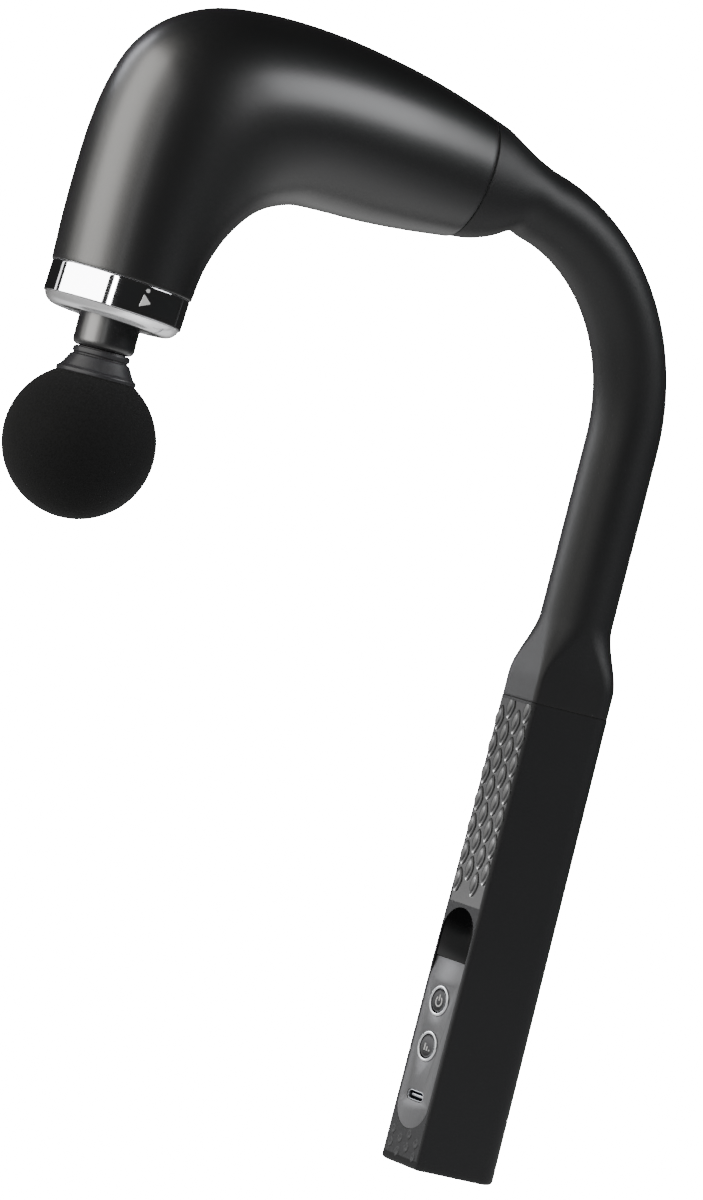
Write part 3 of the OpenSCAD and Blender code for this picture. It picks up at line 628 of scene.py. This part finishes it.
def boreRing(station, straight=False):
    tx, tz, bx, bz, half = station
    length = math.hypot(tx - bx, tz - bz)
    mx, mz = (tx + bx) / 2, (tz + bz) / 2
    if straight:  # keeps the bore in line with the end of the bend
        a = math.radians(neckPath["bendAngle"])
        endX = (math.cos(a) - 1) * neckPath["bend"]
        endZ = math.sin(a) * neckPath["bend"] + neckPath["bendStart"]
        off = ((mx - endX) * math.cos(a) + (mz - endZ) * math.sin(a)) * length
        slide = off / ((tx - bx) * math.cos(a) + (tz - bz) * math.sin(a)) / length
        mx, mz = mx - (tx - bx) * slide, mz - (tz - bz) * slide
    ring = []
    for j in range(ringCount):
        a = 2 * math.pi * (j + 0.5) / ringCount
        along = neckPath["bore"] * math.cos(a)
        ring.append((mx + (tx - bx) / length * along, neckPath["bore"] * math.sin(a),
                     mz + (tz - bz) / length * along))
    return ring


def flareRing(z):
    t = min(max((z - gripTop - neckPath["flareStart"]) / neckPath["flareLength"], 0), 1)
    s = t * t * (3 - 2 * t)
    outline = gripOutline(gripTop, 0.12)
    ring = []
    for j, (x, y) in enumerate(outline):
        a = 2 * math.pi * (j + 0.5) / ringCount
        ring.append((x * (1 - s) + neckPath["radius"] * math.cos(a) * s,
                     y * (1 - s) + neckPath["radius"] * math.sin(a) * s, z))
    return ring


def roundRing(z, r):
    angles = [2 * math.pi * (j + 0.5) / ringCount for j in range(ringCount)]
    return [(r * math.cos(a), r * math.sin(a), z) for a in angles]


def makeNeckCover():
    heights = [gripTop + 31 * i / 30 for i in range(31)] + [gripTop + 31 + 12 * i for i in range(1, 5)]
    bend = [bendStation(2.0 * i) for i in range(41)]
    stations = bend[:-1] + smoothStations([bend[-5], bend[-1]] + flangeStations, 6)[6:]
    outer = [flareRing(z) for z in heights] + [ovalRing(s, 0, ringCount) for s in stations]
    inner = [roundRing(z, neckPath["bore"]) for z in heights]
    inner += [boreRing(s, straight=i >= len(bend)) for i, s in enumerate(stations)]
    piece = tubeWall("neckCover", outer, inner)
    roundEdges(piece, 0.35, 60, 3)
    finishPiece(piece, "neck_cover", "housing")


# Grip

def slotOutline(width, low, high):
    r = width / 2
    return arcPoints(0, low + r, r, 180, 360, 32) + arcPoints(0, high - r, r, 0, 180, 32)


def portOutline(width, height, z):
    r = height / 2
    right, left = width / 2 - r, r - width / 2
    return arcPoints(right, z, r, -90, 90, 12) + arcPoints(left, z, r, 90, 270, 12)


panel = dict(width=panelHigh[1] - panelLow[1], low=panelLow[2], top=lensHigh[2], displayLow=lensLow[2],
             powerZ=55.1, modeZ=39.8, ringRadius=5.15, portZ=23.2, portWidth=8.94, portHeight=3.26)
pad = dict(low=87.6, high=156.0, width=17.2, depth=0.7, sunk=0.3)


def makeGripBarrel():
    heights = [3.0, 20, 45, 70, 80, 90, 100, 110, 120, 135, gripTop]
    piece = tubeWall("gripBarrel", [gripRing(z, 0) for z in heights], [gripRing(z, wall) for z in heights])
    window = flatPlate("window",
                       [slotOutline(panel["width"] + 0.1, panel["low"] - 0.05, panel["top"] + 0.05)],
                       faceX + wall + 2, faceX - 2, 0.0)
    combine(piece, window, "DIFFERENCE")
    recess = boxMesh("recess", (faceX - 2, -pad["width"] / 2, pad["low"]),
                     (faceX + pad["depth"], pad["width"] / 2, pad["high"]))
    combine(piece, recess, "DIFFERENCE")
    finishPiece(piece, "grip_barrel", "housing")


def makeEndCap():
    steps = [(0, 2.2), (0.08, 1.5), (0.3, 0.85), (0.65, 0.4), (1.1, 0.12), (1.7, 0.0), (3.0, 0.0)]
    rings = [gripRing(0, inset, z) for z, inset in steps]
    points = [p for ring in rings for p in ring]
    faces = ringFaces(len(rings), ringCount, False)
    faces += [tuple(range(ringCount)), tuple(range(len(points) - ringCount, len(points)))]
    piece = meshObject("endCap", points, faces)
    for side in (-1, 1):
        hole = lathe("hole", [(0, -1), (2.35, -1), (2.35, 1.4), (1.3, 1.4), (1.3, 4), (0, 4)],
                     (10.2, side * 11, 0), count=48)
        combine(piece, hole, "DIFFERENCE")
    finishPiece(piece, "end_cap", "housing")


def makeControlPanel():
    s = dict(thickness=1.6, scoopStart=61.5, scoopDepth=0.85, edge=0.18)
    top = panel["displayLow"] - 0.2
    front = []
    for i in range(25):
        z = s["scoopStart"] + (top - s["scoopStart"]) * i / 24
        t = i / 24
        front.append((faceX + s["scoopDepth"] * t * t * (3 - 2 * t), z))
    profile = [(faceX, panel["low"] - 1)] + front + [(faceX + s["thickness"], top),
                                                     (faceX + s["thickness"], panel["low"] - 1)]
    points = [(x, y, z) for y in (-10, 10) for x, z in profile]
    count = len(profile)
    faces = [(j, (j + 1) % count, count + (j + 1) % count, count + j) for j in range(count)]
    faces += [tuple(range(count)), tuple(range(count, 2 * count))]
    piece = meshObject("controlPanel", points, faces)
    outline = flatPlate("outline", [slotOutline(panel["width"], panel["low"], panel["top"])], faceX + 4,
                        faceX - 3, 0)
    combine(piece, outline, "INTERSECT")
    for z in (panel["powerZ"], panel["modeZ"]):
        hole = lathe("hole",
                     [(0, faceX - 2), (panel["ringRadius"], faceX - 2), (panel["ringRadius"], faceX + 4),
                              (0, faceX + 4)], (0, 0, z), "X", 64)
        combine(piece, hole, "DIFFERENCE")
    port = flatPlate("port",
                     [portOutline(panel["portWidth"] + 0.3, panel["portHeight"] + 0.3, panel["portZ"])],
                     faceX + 4, faceX - 3, 0)
    combine(piece, port, "DIFFERENCE")
    roundEdges(piece, s["edge"], 50, 2)
    finishPiece(piece, "control_panel", "housing")


def makeDisplay():
    r = panel["width"] / 2
    low = panel["displayLow"]
    arch = arcPoints(0, panel["top"] - r, r - 0.05, 0, 180, 40)
    outline = [(r - 0.05, low)] + arch + [(0.05 - r, low)]
    piece = flatPlate("displayLens", [outline], faceX + 1.7, faceX + 0.25, 0.12)
    finishPiece(piece, "display_lens", "housing")


def makeButtons():
    s = dict(cap=3.75, ringInner=4.05, ringOuter=5.13, proud=0.5)
    rings = []
    for z in (panel["powerZ"], panel["modeZ"]):
        rings.append(lathe("buttonRings", [(s["ringInner"], faceX + 1.6), (s["ringOuter"], faceX + 1.6),
                                           (s["ringOuter"], faceX - s["proud"], 0.45),
                                           (s["ringInner"], faceX - s["proud"], 0.4)], (0, 0, z), "X", 96))
    finishPiece(joinPieces(*rings), "button_rings", "housing")
    for name, node, body, z in (("powerCap", "power_button", "power_key", panel["powerZ"]),
                                ("modeCap", "mode_button", "mode_key", panel["modeZ"])):
        cap = lathe(name, [(0, faceX - 0.12), (2.2, faceX - 0.15), (s["cap"] - 0.1, faceX - 0.3, 0.3),
                           (s["cap"], faceX + 1.9), (4.7, faceX + 1.9), (4.7, faceX + 2.7), (0, faceX + 2.7)],
                    (0, 0, z), "X", 96)
        finishPiece(cap, node, body)
    makeIcons()


def bandOutline(cx, cy, r, thickness, start, end):
    return (arcPoints(cx, cy, r + thickness / 2, start, end, 24)
            + arcPoints(cx, cy, r - thickness / 2, end, start, 24))


def barOutline(cx, low, high, width):
    return [(cx - width / 2, low), (cx + width / 2, low), (cx + width / 2, high), (cx - width / 2, high)]


def makeIcons():
    front, back = faceX - 0.2, faceX + 0.1
    z = panel["powerZ"]
    power = flatPlate("powerIcon",
                      [bandOutline(0, z - 0.2, 1.6, 0.5, 125, 415), barOutline(0, z, z + 2.1, 0.5)],
                      back, front, 0.03)
    z = panel["modeZ"]
    bars = [barOutline(1.3 * i, z - 1.5, z - 0.1 + 0.9 * i, 0.6) for i in (-1, 0, 1)]
    mode = flatPlate("modeIcon", bars, back, front, 0.03)
    for piece, body in ((power, "power_key"), (mode, "mode_key")):
        piece.data.materials.append(finishes["mark_white"])
        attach(piece, body)


def makeChargingPort():
    outer = portOutline(panel["portWidth"], panel["portHeight"], panel["portZ"])
    inner = portOutline(panel["portWidth"] - 0.6, panel["portHeight"] - 0.6, panel["portZ"])
    shell = flatPlate("chargingPort", [outer, inner], faceX + 6.6, faceX + 0.25, 0.06)
    tongue = flatPlate("tongue", [portOutline(6.7, 0.7, panel["portZ"])], faceX + 6.5, faceX + 1.1, 0.05)
    finishPiece(joinPieces(shell, tongue), "charging_port", "housing")


# Raised scales of the grip, placed by Geometry Nodes

def makeScaleTree():
    tree = bpy.data.node_groups.new("gripScales", "GeometryNodeTree")
    tree.interface.new_socket(name="Geometry", in_out="OUTPUT", socket_type="NodeSocketGeometry")
    sizes = [("Columns", "NodeSocketInt", 4), ("Rows", "NodeSocketInt", 7),
             ("Column Pitch", "NodeSocketFloat", 4.3),
             ("Row Pitch", "NodeSocketFloat", 9.1), ("Half Width", "NodeSocketFloat", 1.9),
             ("Half Length", "NodeSocketFloat", 4.1), ("Height", "NodeSocketFloat", 0.5),
             ("Dish", "NodeSocketFloat", 0.3), ("Low", "NodeSocketFloat", 92.0),
             ("Face", "NodeSocketFloat", -15.5), ("Material", "NodeSocketMaterial", None)]
    for name, kind, value in sizes:
        socket = tree.interface.new_socket(name=name, in_out="INPUT", socket_type=kind)
        if value is not None:
            socket.default_value = value
    source, result = tree.nodes.new("NodeGroupInput"), tree.nodes.new("NodeGroupOutput")
    get = source.outputs
    link = tree.links.new

    def calc(operation, first, second=None):
        return mathNode(tree, operation, first, second)

    def combineXyz(x, y, z):
        node = tree.nodes.new("ShaderNodeCombineXYZ")
        for socket, value in zip(node.inputs, (x, y, z)):
            if isinstance(value, bpy.types.NodeSocket):
                link(value, socket)
            else:
                socket.default_value = value
        return node.outputs[0]

    grid = tree.nodes.new("GeometryNodeMeshGrid")
    link(calc("MULTIPLY", calc("SUBTRACT", get["Columns"], 1.0), get["Column Pitch"]), grid.inputs["Size X"])
    link(calc("MULTIPLY", calc("SUBTRACT", get["Rows"], 1.0), get["Row Pitch"]), grid.inputs["Size Y"])
    link(get["Columns"], grid.inputs["Vertices X"])
    link(get["Rows"], grid.inputs["Vertices Y"])
    index = tree.nodes.new("GeometryNodeInputIndex").outputs[0]
    column = calc("FLOOR", calc("DIVIDE", index, get["Rows"]))
    row = calc("MODULO", index, get["Rows"])
    stagger = calc("MULTIPLY", calc("MODULO", column, 2.0), calc("MULTIPLY", get["Row Pitch"], 0.5))
    middle = calc("MULTIPLY", calc("SUBTRACT", get["Columns"], 1.0), 0.5)
    y = calc("MULTIPLY", calc("SUBTRACT", column, middle), get["Column Pitch"])
    z = calc("ADD", calc("ADD", calc("MULTIPLY", row, get["Row Pitch"]), stagger), get["Low"])
    place = tree.nodes.new("GeometryNodeSetPosition")
    link(grid.outputs["Mesh"], place.inputs["Geometry"])
    link(combineXyz(get["Face"], y, z), place.inputs["Position"])

    ball = tree.nodes.new("GeometryNodeMeshUVSphere")
    ball.inputs["Segments"].default_value = 20
    ball.inputs["Rings"].default_value = 12
    ball.inputs["Radius"].default_value = 1.0
    spot = tree.nodes.new("GeometryNodeInputPosition").outputs[0]
    split = tree.nodes.new("ShaderNodeSeparateXYZ")
    link(spot, split.inputs[0])
    out, across, along = split.outputs  # the ball's own x points out of the face
    point = calc("SUBTRACT", 1.0, calc("MULTIPLY", calc("ABSOLUTE", along), 0.4))
    squareSum = calc("ADD", calc("MULTIPLY", across, across), calc("MULTIPLY", along, along))
    inside = calc("SUBTRACT", 1.0, squareSum)
    dish = calc("MULTIPLY", calc("MULTIPLY", inside, inside), get["Dish"])
    lean = calc("SUBTRACT", 1.0, calc("MULTIPLY", along, 0.35))
    lift = calc("MULTIPLY", calc("MULTIPLY", out, get["Height"]), lean)
    front = calc("LESS_THAN", out, 0.0)
    depth = calc("ADD", lift, calc("MULTIPLY", dish, front))
    width = calc("MULTIPLY", calc("MULTIPLY", across, get["Half Width"]), point)
    shape = tree.nodes.new("GeometryNodeSetPosition")
    link(ball.outputs["Mesh"], shape.inputs["Geometry"])
    link(combineXyz(depth, width, calc("MULTIPLY", along, get["Half Length"])), shape.inputs["Position"])
    smooth = tree.nodes.new("GeometryNodeSetShadeSmooth")
    link(shape.outputs["Geometry"], smooth.inputs["Geometry"])

    spread = tree.nodes.new("GeometryNodeInstanceOnPoints")
    link(place.outputs["Geometry"], spread.inputs["Points"])
    link(smooth.outputs["Geometry"], spread.inputs["Instance"])
    scale = tree.nodes.new("GeometryNodeTransform")
    scale.inputs["Scale"].default_value = (mm, mm, mm)
    link(spread.outputs["Instances"], scale.inputs["Geometry"])
    real = tree.nodes.new("GeometryNodeRealizeInstances")
    link(scale.outputs["Geometry"], real.inputs["Geometry"])
    paint = tree.nodes.new("GeometryNodeSetMaterial")
    link(real.outputs["Geometry"], paint.inputs["Geometry"])
    link(get["Material"], paint.inputs["Material"])
    link(paint.outputs["Geometry"], result.inputs["Geometry"])
    return tree


def growNodes(name, tree, values):  # runs a tree and keeps its result as a plain mesh
    piece = bpy.data.objects.new(name, bpy.data.meshes.new(name))
    bpy.context.collection.objects.link(piece)
    modifier = piece.modifiers.new(name, "NODES")
    modifier.node_group = tree
    sockets = {item.name: item.identifier for item in tree.interface.items_tree if item.in_out == "INPUT"}
    for key, value in values.items():
        modifier[sockets[key]] = value
    result = bpy.data.meshes.new_from_object(piece.evaluated_get(bpy.context.evaluated_depsgraph_get()))
    piece.modifiers.clear()
    piece.data = result
    return piece


def trimTop(piece, height):  # cuts the top row off square under the seam
    mesh = bmesh.new()
    mesh.from_mesh(piece.data)
    cut = bmesh.ops.bisect_plane(mesh, geom=mesh.verts[:] + mesh.edges[:] + mesh.faces[:],
                                 plane_co=(0, 0, height * mm),
                                 plane_no=(0, 0, 1), clear_outer=True)
    rim = [item for item in cut["geom_cut"] if isinstance(item, bmesh.types.BMEdge)]
    bmesh.ops.holes_fill(mesh, edges=rim)
    mesh.to_mesh(piece.data)
    mesh.free()


def makeTexturePads():
    tree = makeScaleTree()
    base = boxMesh("texturePad", (faceX + pad["sunk"], -pad["width"] / 2, pad["low"]),
                   (faceX + pad["depth"], pad["width"] / 2, pad["high"]))
    finishPiece(base, "texture_pad", "housing", look="scale_black")
    upper = {"Columns": 4, "Rows": 7, "Column Pitch": -4.65, "Row Pitch": 9.1, "Low": 94.7,
             "Face": faceX + pad["sunk"], "Height": 1.15, "Dish": 1.1, "Half Width": 2.2, "Half Length": 4.3}
    lower = {"Columns": 4, "Rows": 2, "Column Pitch": 4.6, "Row Pitch": 4.4, "Low": 3.9, "Face": faceX + 0.06,
             "Height": 0.3, "Dish": 0.25, "Half Width": 1.5, "Half Length": 1.8}
    for name, values in (("upperScales", upper), ("lowerScales", lower)):
        values["Material"] = finishes["scale_black" if name == "upperScales" else "soft_black"]
        piece = growNodes(name, tree, values)
        trimTop(piece, pad["high"] + 0.3)
        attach(piece, "housing")


for stage in (makeHeadShell, makeNoseRings, makeCollarMark, makeNoseUnderside, makePlunger, makeBallHead,
              makeNeckCover, makeGripBarrel, makeEndCap, makeControlPanel, makeDisplay, makeButtons,
              makeChargingPort, makeTexturePads):
    stage()
    print("made:", stage.__name__)


# Camera, floor and light

camera = dict(azimuth=-34.86, elevation=0.83, roll=14.39, targetX=-88.9, targetZ=175.2, distance=2000.0,
              lens=188.0)


def placeCamera():
    view = bpy.data.cameras.new("camera")
    view.sensor_fit = "VERTICAL"
    view.sensor_height = 36.0
    view.lens = camera["lens"]
    view.clip_end = 50
    eye = bpy.data.objects.new("camera", view)
    bpy.context.collection.objects.link(eye)
    a, e = math.radians(camera["azimuth"]), math.radians(camera["elevation"])
    back = Vector((math.sin(a) * math.cos(e), -math.cos(a) * math.cos(e), math.sin(e)))
    right = (-back).cross(Vector((0, 0, 1))).normalized()
    up = right.cross(-back)
    roll = math.radians(camera["roll"])
    tiltedRight = right * math.cos(roll) + up * math.sin(roll)
    tiltedUp = up * math.cos(roll) - right * math.sin(roll)
    place = Vector((camera["targetX"], 0, camera["targetZ"])) * mm + back * camera["distance"] * mm
    eye.matrix_world = Matrix((
        (tiltedRight.x, tiltedUp.x, back.x, place.x), (tiltedRight.y, tiltedUp.y, back.y, place.y),
        (tiltedRight.z, tiltedUp.z, back.z, place.z), (0, 0, 0, 1)))
    bpy.context.scene.camera = eye
    return back, right, up


def addPanelLight(name, azimuth, elevation, distance, width, height, power, color=(1, 1, 1), only=()):
    lamp = bpy.data.lights.new(name, "AREA")
    lamp.shape = "RECTANGLE"
    lamp.size, lamp.size_y = width, height
    lamp.energy = power
    lamp.color = color
    holder = bpy.data.objects.new(name, lamp)
    bpy.context.collection.objects.link(holder)
    a, e = math.radians(azimuth), math.radians(elevation)
    aim = Vector((-0.1, 0, 0.2))
    away = Vector((math.sin(a) * math.cos(e), -math.cos(a) * math.cos(e), math.sin(e)))
    holder.location = aim + away * distance
    holder.rotation_euler = away.to_track_quat("Z", "Y").to_euler()
    if only:  # lights these pieces alone, and nothing else shades them
        lit = bpy.data.collections.new(name)
        for piece in only:
            lit.objects.link(bpy.data.objects[piece])
        holder.light_linking.receiver_collection = lit
        holder.light_linking.blocker_collection = lit


def lightScene():
    world = bpy.data.worlds.new("studio")
    bpy.context.scene.world = world
    world.use_nodes = True
    tree = world.node_tree
    base = tree.nodes["Background"]
    base.inputs["Color"].default_value = (1, 1, 1, 1)
    path = tree.nodes.new("ShaderNodeLightPath")
    seen = mathNode(tree, "MULTIPLY", path.outputs["Is Camera Ray"], 30.0)
    soft = mathNode(tree, "MULTIPLY", path.outputs["Is Diffuse Ray"], 0.12)
    tree.links.new(mathNode(tree, "ADD", mathNode(tree, "ADD", seen, soft), 0.02), base.inputs["Strength"])
    mirror, shell = ("noseCollar",), ("headShell", "plungerSleeve")
    front = ("gripBarrel", "controlPanel", "buttonRings", "chargingPort", "neckCover", "lowerScales")
    scales = ("texturePad", "upperScales")
    addPanelLight("leftPanel", -93, 16, 1.1, 1.76, 1.5, 15, (1.0, 0.99, 0.96))
    addPanelLight("leftStrip", -43, 12, 1.6, 0.2, 1.2, 1.6)
    addPanelLight("rightPanel", 44, 31, 1.3, 0.85, 0.5, 8, (0.97, 0.98, 1.0))
    addPanelLight("shellPanel", -91, 16, 1.0, 0.7, 1.5, 17, (1.0, 0.98, 0.94), only=shell)
    addPanelLight("shellEdge", -146, 34, 1.5, 0.35, 0.7, 5, (0.93, 0.94, 1.0), only=("headShell",))
    addPanelLight("frontPanel", -146, 6, 1.5, 0.5, 1.4, 14, (0.96, 0.97, 1.0), only=front)
    addPanelLight("scalePanel", -138, -36, 1.2, 0.6, 0.5, 75, only=scales)
    addPanelLight("ringPanel", 10, -42, 0.9, 0.5, 0.5, 16, only=("lowerRing",))
    addPanelLight("mirrorPanel", -93, 16, 1.09, 1.76, 1.5, 90, only=mirror)
    addPanelLight("mirrorStrip", -43, 12, 1.59, 0.17, 1.2, 12, only=mirror)
    addPanelLight("mirrorEdge", -142, 6, 1.5, 0.12, 1.4, 1.2, only=mirror)


def makeFloor():
    half = 12.0
    points = [(x * half / mm, y * half / mm, -0.4) for x, y in ((-1, -1), (1, -1), (1, 1), (-1, 1))]
    floor = meshObject("floor", points, [(0, 1, 2, 3)])
    material = bpy.data.materials.new("paleFloor")
    material.use_nodes = True
    tree = material.node_tree
    shader = tree.nodes["Principled BSDF"]
    shader.inputs["Roughness"].default_value = 0.9
    shader.inputs["Specular IOR Level"].default_value = 0.0
    place = tree.nodes.new("ShaderNodeTexCoord").outputs["Object"]
    speckle = tree.nodes.new("ShaderNodeTexNoise")
    speckle.inputs["Scale"].default_value = 3.0
    tree.links.new(place, speckle.inputs["Vector"])
    tree.links.new(mixColor(tree, speckle.outputs["Fac"], (0.5, 0.5, 0.5, 1), (0.54, 0.54, 0.54, 1)),
                   shader.inputs["Base Color"])
    path = tree.nodes.new("ShaderNodeLightPath")
    shader.inputs["Emission Color"].default_value = (1, 1, 1, 1)
    reach = tree.nodes.new("ShaderNodeVectorMath")
    reach.operation = "LENGTH"
    tree.links.new(place, reach.inputs[0])
    fade = tree.nodes.new("ShaderNodeMapRange")  # painted reflection: glossy rays see a glowing pool of light under the object
    fade.interpolation_type = "SMOOTHSTEP"
    fade.inputs["From Min"].default_value = 0.25
    fade.inputs["From Max"].default_value = 0.7
    fade.inputs["To Min"].default_value = 0.6
    fade.inputs["To Max"].default_value = 0.0
    tree.links.new(reach.outputs["Value"], fade.inputs["Value"])
    split = tree.nodes.new("ShaderNodeSeparateXYZ")
    tree.links.new(place, split.inputs["Vector"])
    side = tree.nodes.new("ShaderNodeMapRange")  # and the painted pool of light fades to dark past the head
    side.interpolation_type = "SMOOTHSTEP"
    side.inputs["From Min"].default_value = -0.34
    side.inputs["From Max"].default_value = -0.24
    tree.links.new(split.outputs["X"], side.inputs["Value"])
    # painted reflection: the floor glows for glossy rays only, as a pool of light under the object
    paintedReflectionPool = mathNode(tree, "MULTIPLY",
                    mathNode(tree, "MULTIPLY", path.outputs["Is Glossy Ray"], side.outputs["Result"]),
                    fade.outputs["Result"])
    seen = mathNode(tree, "MULTIPLY", path.outputs["Is Camera Ray"], 30.0)
    tree.links.new(mathNode(tree, "ADD", seen, paintedReflectionPool), shader.inputs["Emission Strength"])
    floor.data.materials.append(material)


placeCamera()
lightScene()
makeFloor()
print("camera, light and floor placed")
